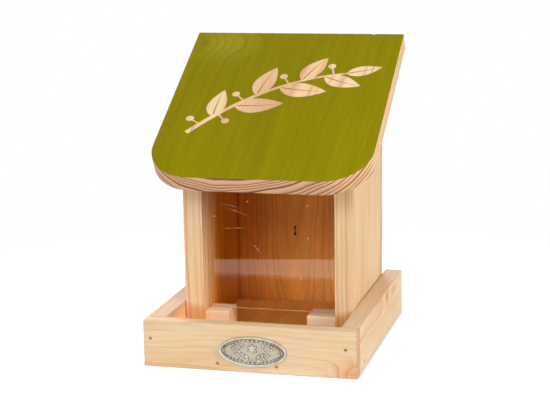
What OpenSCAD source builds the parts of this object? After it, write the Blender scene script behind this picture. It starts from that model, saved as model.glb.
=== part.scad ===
// Silo bird feeder: a seed house with a clear front window, in an open tray, under a hinged, sloping roof.
// Millimetres, +Z up, front towards -Y. The origin is at the foot, in the middle of the feeder's outer box.

/* [Tray] */
// Width of the tray over its two side boards
tray_w = 170; // [150:1:200]
// Depth of the tray, front board included
tray_d = 196.5; // [190:0.5:240]
// Height of the tray's front and side boards
tray_h = 37; // [32:0.5:60]
// Thickness of the front board
front_t = 11.5; // [9:0.5:15]
// Thickness of each side board
side_t = 14.5; // [9:0.5:18]
// Thickness of the floor board
floor_t = 11.5; // [8:0.5:15]

/* [House] */
// Thickness of each wall
wall_t = 15.5; // [12:0.5:20]
// Depth of each wall, front edge to back board
wall_d = 110; // [90:1:115]
// Gap between a wall and the side board beside it
wall_gap = 0.5; // [0.2:0.1:1.5]
// Thickness of the back board
back_t = 11.5; // [10:0.5:15]
// Length of tray that stands out behind the back board
rear_ledge = 13; // [8:0.5:20]
// Height of the back board's rear face
house_h = 230.5; // [200:0.5:260]

/* [Roof] */
// Width of the roof board
roof_w = 179; // [150:1:220]
// Length of the roof board, up the slope
roof_l = 188.3; // [160:0.1:220]
// Thickness of the roof board
roof_t = 14.5; // [11:0.5:20]
// Slope of the roof in degrees
roof_slope = 30.8; // [20:0.1:38]
// Radius of the roof's two front corners
roof_corner_r = 38; // [10:1:60]
// How far the roof's underside runs past the back board, up the slope
roof_overhang = 3; // [2:0.5:4]
// Gap between the roof's underside and the walls' sloping tops
roof_seat = 0.2; // [0.1:0.1:0.5]

/* [Window and blocks] */
// Thickness of the clear window
window_t = 2.5; // [2:0.5:4]
// Distance from the walls' front edges to the window
window_setback = 15; // [8:0.5:20]
// Depth of the groove in each wall that takes the window
groove_depth = 4.5; // [3:0.5:7]
// Clearance between the window and its grooves, all round
window_play = 0.3; // [0.2:0.1:0.6]
// Gap between the window's top edge and the roof
window_top_gap = 3; // [1:0.5:8]
// Gap between the window's lower edge and the blocks
window_seat = 0.2; // [0.1:0.1:0.5]
// Height of the blocks that the window stands on
block_h = 17; // [12:0.5:24]
// Depth of the blocks, front to back
block_d = 24; // [20:0.5:30]
// Length of the left block, measured out from its wall
left_block_l = 20; // [12:0.5:35]
// Length of the right block, measured out from its wall
right_block_l = 24; // [12:0.5:35]
// Distance from the walls' front edges to the blocks
block_setback = 3.5; // [0:0.5:8]

/* [Badge] */
// Width of the oval badge
badge_w = 54; // [40:1:70]
// Height of the oval badge
badge_h = 24; // [16:0.5:28]
// Thickness of the badge's plate
badge_t = 1; // [0.8:0.1:2]
// Width of the badge's raised rim
badge_rim_w = 1.6; // [1:0.1:2.5]
// Height of the rim above the plate
badge_rim_h = 0.6; // [0.3:0.1:1]
// Distance of the badge's centre to the right of the tray's middle
badge_x = 3.3; // [-20:0.1:20]
// Height of the badge's centre
badge_z = 16.8; // [15:0.1:22]
// Distance from the badge's ends to its pins
badge_pin_inset = 6; // [4:0.5:9]
// Radius of a badge pin
badge_pin_r = 0.6; // [0.4:0.05:1]
// Radius of a badge pin's round head
badge_pin_head_r = 1.1; // [1.05:0.05:1.6]
// Length of a badge pin in the wood
badge_pin_l = 8; // [5:0.5:10]

/* [Nails] */
// Radius of a nail
nail_r = 0.8; // [0.6:0.05:1]
// Radius of a nail's head
nail_head_r = 1.2; // [1.1:0.05:1.5]
// Thickness of a nail's head
nail_head_t = 0.8; // [0.5:0.1:1.2]
// Depth that a nail's head is set below the wood
nail_set = 0.4; // [0.1:0.1:1]
// Length of a nail
nail_l = 30; // [24:1:32]
// Height of the nails that join the front board to the side boards
end_nail_z = 22.5; // [18:0.5:28]
// How far right of the side boards' middles those nails went in
end_nail_shift = -1.6; // [-2.5:0.1:2.5]
// Distance between the two nails that join the front board to the floor
floor_nail_span = 47; // [40:1:120]
// How far right of the tray's middle that pair went in
floor_nail_shift = -1.5; // [-5:0.1:5]
// Distance from the front board to the nail in each side board
side_nail_y = 17.5; // [10:0.5:60]
// Distance from a wall's front and rear edges to the nails under it
wall_nail_inset = 18; // [10:1:30]
// Height of the lowest nails in the back board, above the floor
back_nail_low = 26; // [22:1:40]
// Distance from the back board's top down to its highest nails
back_nail_drop = 34; // [30:1:60]
// Radius of a block's brad
brad_r = 0.5; // [0.4:0.05:0.7]
// Length of a block's brad
brad_l = 12; // [8:0.5:14]
// Distance from a block's wall to its brad
brad_x = 3; // [2.5:0.25:6]
// Distance from a block's top down to its brad
brad_drop = 3.5; // [2.5:0.25:6]

/* [Staple] */
// Width of the staple in the back board
staple_w = 6; // [4:0.5:10]
// Radius of the staple's wire
staple_r = 0.35; // [0.25:0.05:0.5]
// Length of the staple's legs in the wood
staple_leg = 6; // [4:0.5:9]
// Distance of the staple to the right of the tray's middle
staple_x = -4.5; // [-10:0.5:10]
// Height of the staple's middle
staple_z = 74; // [50:1:120]

/* [Hinges] */
// Length of a hinge along its pin
hinge_l = 30; // [24:1:40]
// Distance from the middle of the roof to the middle of each hinge
hinge_x = 32; // [24:1:45]
// Width of a hinge leaf, measured from its pin
leaf_w = 17; // [16:0.5:18]
// Thickness of a hinge leaf
leaf_t = 1; // [0.8:0.1:1.2]
// Outer radius of the hinge's knuckles
knuckle_r = 2.2; // [2:0.1:2.6]
// Gap between knuckles, and round them
knuckle_gap = 0.3; // [0.2:0.05:0.5]
// Radius of the hinge pin
pin_r = 1.05; // [0.8:0.05:1.2]
// Thickness of the pin's riveted heads
pin_head_t = 0.5; // [0.3:0.1:1]
// Radius of a hinge screw
screw_r = 1; // [0.8:0.05:1.1]
// Radius of a hinge screw's countersunk head
screw_head_r = 1.8; // [1.6:0.05:1.9]
// Length of a hinge screw
screw_l = 8; // [6:0.5:9]
// Distance between the two screws of a leaf
screw_span = 18; // [14:0.5:20]
// Distance from a leaf's free edge to its screws
screw_edge = 3.5; // [3:0.25:5]

/* [Hidden] */
// Clearance round a nail, pin or screw in its hole
bore_play = 0.05;
// Free length past a nail's or screw's tip
tip_play = 0.3;
// Clearance round a hinge leaf in its recess
recess_play = 0.2;
// Length that a cutting shape runs past the wood
cut = 1;
$fn = 48;

badge_proud = badge_t + badge_rim_h;
badge_pin_x = badge_w / 2 - badge_pin_inset;
front_y = badge_proud / 2 - tray_d / 2;
rear_y = front_y + tray_d;
back_y = rear_y - rear_ledge;
wall_rear_y = back_y - back_t;
wall_front_y = wall_rear_y - wall_d;
wall_x = tray_w / 2 - side_t - wall_gap;
inner_x = wall_x - wall_t;
window_y = wall_front_y + window_setback;
window_half_w = inner_x + groove_depth - window_play;
window_z = floor_t + block_h + window_seat;
window_top_z = seam_z(window_y) - window_top_gap;
axis_y = roof_overhang + knuckle_gap + knuckle_r + recess_play;
axis_z = roof_seat / 2;
knuckle_l = (hinge_l - 2 * knuckle_gap) / 3;
pine = "burlywood";
nail_steel = "dimgray";
hinge_steel = "silver";

// Height of the house's sloping top, at a distance y from the middle
function seam_z(y) = house_h + (y - back_y) * tan(roof_slope);

// Points of an oval, a wide and b high from its centre
function oval(a, b) = [for (i = [0:$fn - 1]) [a * cos(i * 360 / $fn), b * sin(i * 360 / $fn)]];

// Turns an outline in Y and Z into a solid that runs from x, l long
module along_x(x, l) {
    translate([x, 0, 0]) rotate([90, 0, 90]) linear_extrude(l) children();
}

// Frame of the sloping seam, from the back board's top rear edge: y up the slope, z square to it
module on_seam() {
    translate([0, back_y, house_h]) rotate([roof_slope, 0, 0]) children();
}

// A nail that runs along +Z, its head set below the surface at z = 0
module nail(l) {
    translate([0, 0, nail_set]) {
        cylinder(h = nail_head_t, r = nail_head_r);
        cylinder(h = l - 2 * nail_r, r = nail_r);
        translate([0, 0, l - 2 * nail_r]) cylinder(h = 2 * nail_r, r1 = nail_r, r2 = 0.1);
    }
}

// The hole that a nail makes
module nail_hole(l) {
    translate([0, 0, -cut]) {
        cylinder(h = cut + nail_set + nail_head_t + bore_play, r = nail_head_r + bore_play);
        cylinder(h = cut + nail_set + l + tip_play, r = nail_r + bore_play);
    }
}

// A headless brad that runs along +Z, or its hole
module brad(play = 0) {
    start = play > 0 ? -cut : nail_set / 2;
    tip = play > 0 ? tip_play : 0;
    translate([0, 0, start]) cylinder(h = brad_l - start + tip, r = brad_r + play);
}

// Where the nails are: each child runs along +Z into the wood
module at_front_end_nails() {
    for (side = [-1, 1])
        translate([side * (tray_w - side_t) / 2 + end_nail_shift, front_y, end_nail_z])
            rotate([-90, 0, 0]) children();
}

module at_front_floor_nails() {
    for (side = [-1, 1])
        translate([side * floor_nail_span / 2 + floor_nail_shift, front_y, floor_t / 2])
            rotate([-90, 0, 0]) children();
}

module at_side_floor_nails() {
    for (side = [-1, 1])
        translate([side * tray_w / 2, front_y + front_t + side_nail_y, floor_t / 2])
            rotate([0, -90 * side, 0]) children();
}

module at_wall_floor_nails() {
    for (side = [-1, 1], y = [wall_front_y + wall_nail_inset, wall_rear_y - wall_nail_inset])
        translate([side * (wall_x - wall_t / 2), y, 0]) children();
}

module at_back_board_nails() {
    low = floor_t + back_nail_low;
    high = house_h - back_nail_drop;
    for (side = [-1, 1], z = [low, (low + high) / 2, high])
        translate([side * (wall_x - wall_t / 2), back_y, z]) rotate([90, 0, 0]) children();
}

module at_block_brads() {
    for (side = [-1, 1])
        translate([side * (inner_x - brad_x), wall_front_y + block_setback, floor_t + block_h - brad_drop])
            rotate([0, 0, -45 * side]) rotate([-90, 0, 0]) children();
}

module at_badge_pins() {
    for (side = [-1, 1])
        translate([badge_x + side * badge_pin_x, front_y, badge_z]) rotate([-90, 0, 0]) children();
}

// Where the screws of a pair of leaves are: +Z runs into the wood above the seam, or below it
module at_leaf_screws(up) {
    for (side = [-1, 1], x = [-screw_span / 2, screw_span / 2])
        on_seam() translate([side * hinge_x + x, axis_y - leaf_w + screw_edge, up ? roof_seat : 0])
            rotate([up ? 0 : 180, 0, 0]) children();
}

// The tray
module floor_board() {
    color(pine) difference() {
        translate([-tray_w / 2 + side_t, front_y + front_t, 0])
            cube([tray_w - 2 * side_t, tray_d - front_t, floor_t]);
        at_front_floor_nails() nail_hole(nail_l);
        at_side_floor_nails() nail_hole(nail_l);
        at_wall_floor_nails() nail_hole(nail_l);
    }
}

module front_board() {
    color(pine) difference() {
        translate([-tray_w / 2, front_y, 0]) cube([tray_w, front_t, tray_h]);
        at_front_end_nails() nail_hole(nail_l);
        at_front_floor_nails() nail_hole(nail_l);
        at_badge_pins() translate([0, 0, -cut])
            cylinder(h = cut + badge_pin_l + tip_play, r = badge_pin_r + bore_play);
    }
}

module side_board(side) {
    color(pine) difference() {
        translate([side * (tray_w - side_t) / 2 - side_t / 2, front_y + front_t, 0])
            cube([side_t, tray_d - front_t, tray_h]);
        at_front_end_nails() nail_hole(nail_l);
        at_side_floor_nails() nail_hole(nail_l);
    }
}

module left_side_board() {
    side_board(-1);
}

module right_side_board() {
    side_board(1);
}

// The house: a wall has a sloping top and a sawn groove for the window, open at the top
module wall(side) {
    color(pine) difference() {
        along_x(side * (wall_x - wall_t / 2) - wall_t / 2, wall_t) polygon([
            [wall_front_y, floor_t],
            [wall_rear_y, floor_t],
            [wall_rear_y, seam_z(wall_rear_y)],
            [wall_front_y, seam_z(wall_front_y)]
        ]);
        translate([side * (inner_x + (groove_depth - cut) / 2), window_y + window_t / 2, floor_t - cut])
            translate([0, 0, house_h / 2])
                cube([groove_depth + cut, window_t + 2 * window_play, house_h], center = true);
        at_wall_floor_nails() nail_hole(nail_l);
        at_back_board_nails() nail_hole(nail_l);
        at_block_brads() brad(bore_play);
    }
}

module left_wall() {
    wall(-1);
}

module right_wall() {
    wall(1);
}

// The back board is bevelled to the roof's slope, with a recess for each lower hinge leaf
module back_board() {
    color(pine) difference() {
        along_x(-wall_x, 2 * wall_x) polygon([
            [wall_rear_y, floor_t],
            [back_y, floor_t],
            [back_y, house_h],
            [wall_rear_y, seam_z(wall_rear_y)]
        ]);
        for (side = [-1, 1])
            on_seam() translate([side * hinge_x, 0, 0]) leaf_recess(-leaf_t - recess_play, cut);
        at_back_board_nails() nail_hole(nail_l);
        at_leaf_screws(false) screw_hole();
        translate([staple_x, wall_rear_y, staple_z]) staple(bore_play);
    }
}

module block(x, l) {
    color(pine) difference() {
        translate([x, wall_front_y + block_setback, floor_t]) cube([l, block_d, block_h]);
        at_block_brads() brad(bore_play);
    }
}

module left_block() {
    block(-inner_x, left_block_l);
}

module right_block() {
    block(inner_x - right_block_l, right_block_l);
}

module window() {
    color("lightcyan", 0.5) translate([-window_half_w, window_y, window_z])
        cube([2 * window_half_w, window_t, window_top_z - window_z]);
}

// The roof: one board, square at the back and round at its front corners
module roof_outline() {
    difference() {
        translate([-roof_w / 2, -roof_l]) square([roof_w, roof_l]);
        for (side = [-1, 1]) translate([side * (roof_w / 2 - roof_corner_r), roof_corner_r - roof_l])
            difference() {
                translate([side > 0 ? 0 : -roof_corner_r - cut, -roof_corner_r - cut])
                    square(roof_corner_r + cut);
                circle(roof_corner_r, $fn = 96);
            }
    }
}

module roof_board() {
    color("olive") difference() {
        on_seam() translate([0, roof_overhang, roof_seat]) linear_extrude(roof_t) roof_outline();
        for (side = [-1, 1])
            on_seam() translate([side * hinge_x, 0, roof_seat]) leaf_recess(-cut, leaf_t + recess_play);
        at_leaf_screws(true) screw_hole();
    }
}

// The hinges: each leaf is let into the wood flush with the seam, and the knuckles stand out behind
module leaf_recess(low, high) {
    translate([-hinge_l / 2 - recess_play, axis_y - leaf_w - recess_play, low])
        cube([hinge_l + 2 * recess_play, leaf_w + recess_play + cut, high - low]);
}

module knuckle(x, r, l) {
    translate([x, axis_y, axis_z]) rotate([0, 90, 0]) cylinder(h = l, r = r, center = true);
}

module leaf_plate(z) {
    translate([-hinge_l / 2, axis_y - leaf_w, z]) cube([hinge_l, leaf_w, leaf_t]);
}

module lower_leaf(side) {
    outer = knuckle_l + knuckle_gap;
    color(hinge_steel) difference() {
        on_seam() translate([side * hinge_x, 0, 0]) difference() {
            union() {
                leaf_plate(-leaf_t);
                for (x = [-outer, outer]) knuckle(x, knuckle_r, knuckle_l);
            }
            knuckle(0, knuckle_r + knuckle_gap, knuckle_l + 2 * knuckle_gap);
            knuckle(0, pin_r + bore_play, hinge_l + cut);
        }
        at_leaf_screws(false) screw_hole();
    }
}

module upper_leaf(side) {
    color(hinge_steel) difference() {
        on_seam() translate([side * hinge_x, 0, 0]) difference() {
            union() {
                leaf_plate(roof_seat);
                knuckle(0, knuckle_r, knuckle_l);
            }
            for (end = [-1, 1]) knuckle(end * (knuckle_l + hinge_l) / 2, knuckle_r + knuckle_gap, hinge_l);
            knuckle(0, pin_r + bore_play, hinge_l + cut);
        }
        at_leaf_screws(true) screw_hole();
    }
}

module left_lower_leaf() {
    lower_leaf(-1);
}

module right_lower_leaf() {
    lower_leaf(1);
}

module left_upper_leaf() {
    upper_leaf(-1);
}

module right_upper_leaf() {
    upper_leaf(1);
}

module hinge_pins() {
    color(hinge_steel) for (side = [-1, 1])
        on_seam() translate([side * hinge_x, 0, 0]) {
            knuckle(0, pin_r, hinge_l);
            for (x = [-1, 1]) knuckle(x * (hinge_l + pin_head_t) / 2, (pin_r + knuckle_r) / 2, pin_head_t);
        }
}

// A countersunk wood screw that runs along +Z, its head just under the leaf's face
module screw() {
    head_h = screw_head_r - screw_r;
    translate([0, 0, bore_play]) {
        cylinder(h = head_h, r1 = screw_head_r, r2 = screw_r);
        cylinder(h = screw_l - 2 * screw_r, r = screw_r);
        translate([0, 0, screw_l - 2 * screw_r]) cylinder(h = 2 * screw_r, r1 = screw_r, r2 = 0.1);
    }
}

module screw_hole() {
    head_h = screw_head_r - screw_r;
    translate([0, 0, bore_play / 2]) {
        cylinder(h = head_h, r1 = screw_head_r + bore_play, r2 = screw_r + bore_play);
        cylinder(h = screw_l + tip_play, r = screw_r + bore_play);
        translate([0, 0, -cut]) cylinder(h = cut, r = screw_head_r + bore_play);
    }
}

module lower_leaf_screws() {
    color(hinge_steel) at_leaf_screws(false) screw();
}

module upper_leaf_screws() {
    color(hinge_steel) at_leaf_screws(true) screw();
}

// The badge: an oval plate with a raised rim, bare inside
module badge() {
    color("darkkhaki") translate([badge_x, front_y, badge_z]) rotate([90, 0, 0]) difference() {
        linear_extrude(badge_proud) polygon(oval(badge_w / 2, badge_h / 2));
        translate([0, 0, badge_t]) linear_extrude(badge_rim_h + cut)
            polygon(oval(badge_w / 2 - badge_rim_w, badge_h / 2 - badge_rim_w));
        for (side = [-1, 1]) translate([side * badge_pin_x, 0, -cut])
            cylinder(h = badge_proud + 2 * cut, r = badge_pin_r + bore_play);
    }
}

// A badge pin's head is a low dome, the cap of a ball
module badge_pins() {
    head_h = badge_rim_h - bore_play;
    ball_r = (badge_pin_head_r * badge_pin_head_r + head_h * head_h) / (2 * head_h);
    color("darkkhaki") at_badge_pins() {
        translate([0, 0, -badge_t - bore_play]) cylinder(h = badge_pin_l + badge_t, r = badge_pin_r);
        translate([0, 0, -badge_t - bore_play]) intersection() {
            translate([0, 0, ball_r - head_h]) sphere(ball_r);
            translate([0, 0, -head_h]) cylinder(h = head_h, r = badge_pin_head_r);
        }
    }
}

// Nails and the staple
module front_end_nails() {
    color(nail_steel) at_front_end_nails() nail(nail_l);
}

module front_floor_nails() {
    color(nail_steel) at_front_floor_nails() nail(nail_l);
}

module side_floor_nails() {
    color(nail_steel) at_side_floor_nails() nail(nail_l);
}

module wall_floor_nails() {
    color(nail_steel) at_wall_floor_nails() nail(nail_l);
}

module back_board_nails() {
    color(nail_steel) at_back_board_nails() nail(nail_l);
}

module block_brads() {
    color(nail_steel) at_block_brads() brad();
}

// The staple stands upright, its crown half sunk in the wood's face
module staple(play = 0) {
    r = staple_r + play;
    reach = staple_leg + (play > 0 ? tip_play : 0);
    cylinder(h = staple_w, r = r, center = true);
    for (z = [-1, 1]) translate([0, 0, z * staple_w / 2]) {
        sphere(r);
        rotate([-90, 0, 0]) cylinder(h = reach, r = r);
    }
}

module back_staple() {
    color(nail_steel) translate([staple_x, wall_rear_y, staple_z]) staple();
}

floor_board();
front_board();
left_side_board();
right_side_board();
left_wall();
right_wall();
back_board();
left_block();
right_block();
window();
roof_board();
badge();
badge_pins();
front_end_nails();
front_floor_nails();
side_floor_nails();
wall_floor_nails();
back_board_nails();
block_brads();
back_staple();
left_lower_leaf();
right_lower_leaf();
left_upper_leaf();
right_upper_leaf();
hinge_pins();
lower_leaf_screws();
upper_leaf_screws();
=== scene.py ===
import itertools
from math import atan2, cos, degrees, pi, radians, sin, tan
from types import SimpleNamespace

import bmesh
import bpy
from mathutils import Euler, Matrix, Vector
from mathutils.geometry import delaunay_2d_cdt


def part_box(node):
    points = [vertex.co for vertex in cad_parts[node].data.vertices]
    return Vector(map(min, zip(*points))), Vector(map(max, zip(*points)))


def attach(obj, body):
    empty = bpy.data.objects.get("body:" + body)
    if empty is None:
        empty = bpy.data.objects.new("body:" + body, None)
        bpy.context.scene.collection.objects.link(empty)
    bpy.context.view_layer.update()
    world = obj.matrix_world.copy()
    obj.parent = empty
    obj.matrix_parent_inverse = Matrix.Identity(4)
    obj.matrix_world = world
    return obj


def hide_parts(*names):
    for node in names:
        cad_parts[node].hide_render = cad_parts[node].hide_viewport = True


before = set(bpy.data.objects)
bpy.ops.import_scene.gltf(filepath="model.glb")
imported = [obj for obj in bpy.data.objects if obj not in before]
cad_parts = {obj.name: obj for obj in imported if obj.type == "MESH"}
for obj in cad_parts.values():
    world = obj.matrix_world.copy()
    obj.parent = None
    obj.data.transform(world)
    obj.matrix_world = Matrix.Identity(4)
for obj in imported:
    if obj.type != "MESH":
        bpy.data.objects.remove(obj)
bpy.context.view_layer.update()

MM = 0.001
scene = bpy.context.scene

# Real sizes that the frame's boxes don't give, in millimetres and degrees
ROOF_SLOPE = 30.8
ROOF_THICK = 14.5
ROOF_LENGTH = 188.3
ROOF_OVERHANG = 3
ROOF_SEAT = 0.2
ROOF_CORNER = 38
REAR_CORNER = 1.2
GROOVE_DEPTH = 4.5
GROOVE_PLAY = 0.3
HINGE_BACK = 5.7
LEAF_WIDTH = 17
LEAF_THICK = 1
LEAF_PLAY = 0.2
NAIL_RADIUS = 0.8
NAIL_HEAD_RADIUS = 1.2
NAIL_HEAD_THICK = 0.8
NAIL_SET = 0.4
NAIL_LENGTH = 30
NAIL_HOLE_RADIUS = 1.25
HEAD_DEPTH = NAIL_SET + NAIL_HEAD_THICK
SCREW_EDGE = 3.5
SCREW_HEAD_RADIUS = 1.75
SCREW_RADIUS = 0.95
SCREW_LENGTH = 8
SCREW_PLAY = 0.08
SCREW_RECESS = (0.95, 0.22, 0.6)
STAPLE_WIRE = 0.4
PIN_HEAD_RADIUS = 1.1
PIN_HOLE_RADIUS = 0.65
PIN_HOLE_DEPTH = 3
BADGE_FIELD = 1
BADGE_RELIEF = 0.4
GROUND_WIDTH = 0.45

# How far sanding has rounded the edges, in millimetres
ARRIS = 0.6
FINE_ARRIS = 0.3
BLOCK_ARRIS = 0.5
PANE_ARRIS = 0.25
ROOF_ARRIS = 0.8


# Small helpers

def tone(code):
    """A colour written as sRGB hex, turned to the linear values that shaders take."""
    parts = [int(code[i:i + 2], 16) / 255 for i in (1, 3, 5)]
    linear = [p / 12.92 if p <= 0.04045 else ((p + 0.055) / 1.055) ** 2.4 for p in parts]
    return (*linear, 1.0)


def put(tree, kind, *inputs, **settings):
    """Adds a node. inputs are values, sockets or nodes (their first output), in order, or named in a dict."""
    made = tree.nodes.new(kind if "Node" in kind else "ShaderNode" + kind)
    for key, value in settings.items():
        setattr(made, key, value)
    takes = [socket for socket in made.inputs if socket.enabled]
    named = inputs[0] if inputs and isinstance(inputs[0], dict) else dict(enumerate(inputs))
    for key, value in named.items():
        socket = takes[key] if isinstance(key, int) else next(s for s in takes if s.name == key)
        if isinstance(value, bpy.types.Node):
            value = next(s for s in value.outputs if s.enabled)
        if isinstance(value, bpy.types.NodeSocket):
            tree.links.new(value, socket)
        else:
            socket.default_value = value
    return made


# Settings of a node that multiplies, of one that mixes two colours and of one that tones the first colour
TIMES = {"operation": "MULTIPLY"}
BLEND = {"data_type": "RGBA"}
TINT = {"data_type": "RGBA", "blend_type": "MULTIPLY"}


def cleared(block):
    """A new material or world and its node tree, emptied."""
    block.use_nodes = True
    block.node_tree.nodes.clear()
    return block, block.node_tree


def span(node):
    """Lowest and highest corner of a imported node, in millimetres."""
    low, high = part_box(node)
    return low / MM, high / MM


def linked(name, data):
    """A new object in the scene."""
    obj = bpy.data.objects.new(name, data)
    scene.collection.objects.link(obj)
    return obj


def settle(obj):
    """Applies an object's modifiers."""
    graph = bpy.context.evaluated_depsgraph_get()
    done = bpy.data.meshes.new_from_object(obj.evaluated_get(graph))
    obj.modifiers.clear()
    obj.data = done
    return obj


def from_bmesh(name, bm, *materials):
    """An object from a mesh drawn in millimetres."""
    bmesh.ops.recalc_face_normals(bm, faces=bm.faces)
    bmesh.ops.scale(bm, vec=(MM, MM, MM), verts=bm.verts)
    data = bpy.data.meshes.new(name)
    bm.to_mesh(data)
    bm.free()
    for material in materials:
        data.materials.append(material)
    return linked(name, data)


def finish_piece(obj, body, slot, *nodes):
    """Sets a finished piece on the empty of the body that it rides on, and hides the imported nodes that it
    stands for. slot is not used.
    """
    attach(obj, body)
    if nodes:
        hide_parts(*nodes)


# Places read from the frame, in millimetres

front_low, front_high = span("front_board")
floor_low, floor_high = span("floor_board")
back_low, back_high = span("back_board")
side_low, side_high = span("right_side_board")
badge_low, badge_high = span("badge")
badge_mid = (badge_low + badge_high) / 2
CHAMBER_HALF = span("right_wall")[0].x

# Frame of the sloping seam between house and roof, in millimetres: Y up the slope, Z square to it
SEAM = Matrix.Translation((0, back_high.y, back_high.z)) @ Matrix.Rotation(radians(ROOF_SLOPE), 4, "X")


# Camera, fitted to the photograph: place in metres, turns in degrees, lens and sensor in millimetres

EYE = Vector((0.3036, -1.1636, 0.3596))
YAW, PITCH, ROLL = 14.754, 11.678, -0.868
LENS = 98.4
SENSOR = 36


def make_camera():
    data = bpy.data.cameras.new("camera")
    data.lens = LENS
    data.sensor_width = SENSOR
    stand = Matrix.Translation(EYE)
    for angle, axis in ((YAW, "Z"), (90 - PITCH, "X"), (ROLL, "Z")):
        stand = stand @ Matrix.Rotation(radians(angle), 4, axis)
    scene.camera = linked("camera", data)
    scene.camera.matrix_world = stand


# Studio: a white floor that ends a little way in front, and soft lamps all round, in metres and degrees

FLOOR_FRONT = -0.314
FLOOR_SKEW = -0.18
FLOOR_REACH = 1.6
SHADOW_REACH = 0.45
FILL_LEVEL = 0.18
AIM_HEIGHT = 0.1

# Name, azimuth, elevation, distance, width, height and level of each lamp
LAMPS = (
    ("right softbox", 72, 20, 1.6, 0.45, 0.7, 0.72),
    ("left softbox", -62, 24, 1.6, 0.6, 0.9, 0.14),
    ("front softbox", 0, 28, 1.6, 0.9, 0.5, 0.32),
    ("low fill", 14, 4, 1.8, 0.5, 0.25, 0.15),
    ("low left fill", -32, 6, 1.8, 0.6, 0.3, 0.14),
    ("top softbox", 5, 75, 1.5, 0.9, 0.9, 0.30),
    ("rear softbox", 205, 25, 1.8, 0.7, 0.7, 0.50),
)


def make_lamp(name, azimuth, elevation, distance, width, height, level):
    """An area lamp aimed at the feeder. At level 1 it lights a face turned to it as bright as its colour."""
    a, e = radians(azimuth), radians(elevation)
    away = Vector((sin(a) * cos(e), -cos(a) * cos(e), sin(e)))
    data = bpy.data.lights.new(name, "AREA")
    data.shape = "RECTANGLE"
    data.size = width
    data.size_y = height
    data.energy = level * pi ** 2 * distance ** 2
    obj = linked(name, data)
    obj.location = Vector((0, 0, AIM_HEIGHT)) + away * distance
    obj.rotation_euler = away.to_track_quat("Z", "Y").to_euler()


def make_world():
    """White behind the feeder, dark towards the camera and overhead for mirrored rays, a low even fill."""
    world, tree = cleared(bpy.data.worlds.new("studio"))
    rays = put(tree, "LightPath").outputs
    way = put(tree, "SeparateXYZ", put(tree, "TexCoord").outputs["Generated"]).outputs
    ahead = put(tree, "MapRange", way["Y"], 0, 0.2, 0.005, 1)
    low = put(tree, "MapRange", way["Z"], 0.4, 0.75, 1, 0.08)
    mirrored = put(tree, "Math", ahead, low, **TIMES)
    shiny = put(tree, "Math", rays["Glossy Depth"], 0.5, operation="GREATER_THAN")
    level = put(tree, "Mix", shiny, FILL_LEVEL, mirrored)
    through = put(tree, "Math", rays["Is Transmission Ray"], shiny, operation="GREATER_THAN")
    seen = put(tree, "Math", rays["Is Camera Ray"], through, operation="MAXIMUM")
    level = put(tree, "Mix", seen, level, 1)
    put(tree, "OutputWorld", put(tree, "Background", tone("#FFFFFF"), level))
    scene.world = world


def floor_paint():
    """White studio floor: it reads as white, with the feeder's soft shadow on it near the feeder."""
    paint, tree = cleared(bpy.data.materials.new("studio floor"))
    rays = put(tree, "LightPath").outputs
    seen = put(tree, "Math", rays["Is Camera Ray"], rays["Is Glossy Ray"], operation="MAXIMUM")
    seen = put(tree, "Math", seen, rays["Is Transmission Ray"], operation="MAXIMUM")
    # Painted contact shadow: the glow dims where ambient occlusion finds the feeder close
    gap = put(tree, "AmbientOcclusion", {"Distance": 5 * MM}, samples=8)
    contact = put(tree, "MapRange", gap.outputs["AO"], 0.45, 0.85, 0.3, 0.82)
    glow = put(tree, "Emission", tone("#FFFFFF"), contact)
    near = put(tree, "AddShader", put(tree, "BsdfDiffuse", tone("#A0A0A0")), glow)
    reach = put(tree, "VectorMath", put(tree, "TexCoord").outputs["Object"], operation="LENGTH")
    far = put(tree, "MapRange", reach, SHADOW_REACH * 0.6, SHADOW_REACH, interpolation_type="SMOOTHSTEP")
    shown = put(tree, "MixShader", far, near, put(tree, "Emission", tone("#FFFFFF"), 1))
    # Painted reflection: to mirrored rays the floor glows warm and bright, so the band that the pane mirrors
    # shows warm
    warm = put(tree, "Emission", tone("#FFF0D4"), 1.6)
    shown = put(tree, "MixShader", rays["Is Glossy Ray"], shown, warm)
    lit = put(tree, "BsdfDiffuse", tone("#C8C8C8"))
    put(tree, "OutputMaterial", put(tree, "MixShader", seen, lit, shown))
    return paint


def make_floor():
    bm = bmesh.new()
    corners = [(x, FLOOR_FRONT + FLOOR_SKEW * x, 0) for x in (-FLOOR_REACH, FLOOR_REACH)]
    corners += [(FLOOR_REACH, FLOOR_REACH, 0), (-FLOOR_REACH, FLOOR_REACH, 0)]
    bm.faces.new([bm.verts.new(Vector(c) / MM) for c in corners])
    floor = from_bmesh("floor", bm, floor_paint())


# Materials

# How the grain lies: turns that bring a board's length to Z
LIES = {
    "up": Euler((0, 0, 0)),
    "across": Euler((0, radians(-90), 0)),
    "back": Euler((radians(90), 0, 0)),
    "slope": Euler((radians(90 - ROOF_SLOPE), 0, 0)),
}

# Colours of early and late wood toned as painted shade in the seed chamber, and of the end grain
WALL_CHAMBER_SHADE = ("#EA9A2A", "#C27812")
BACK_CHAMBER_SHADE = ("#FCA83E", "#D68A2E")
FLOOR_CHAMBER_SHADE = ("#FFC05A", "#FFAC48")
BOARD_ENDS = ("#D4AA84", "#AE7A54")
# The blocks' end grain is paler, as painted light for blocks in the roof's shade
BLOCK_ENDS = ("#F0C69C", "#C8946A")
ROOF_ENDS = ("#EABA92", "#5E2210")

# How fast the bend of the rings round a knot dies away
KNOT_FADE = 0.22

# A mask of a hollow starts and is full this far outside its faces, so that it covers the faces themselves
MASK_START = 0.3
MASK_FULL = 0.1

# Where the painted shade of the seed chamber starts and is full: along Y from the front, and downwards in Z,
# in millimetres
CHAMBER_SHADE_DEPTH = (-46, 16)
CHAMBER_SHADE_HEIGHT = (195, 140)
# How far in front of the back board the painted shade of its left corner reaches, in millimetres
CORNER_SHADE_DEPTH = 12

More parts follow.
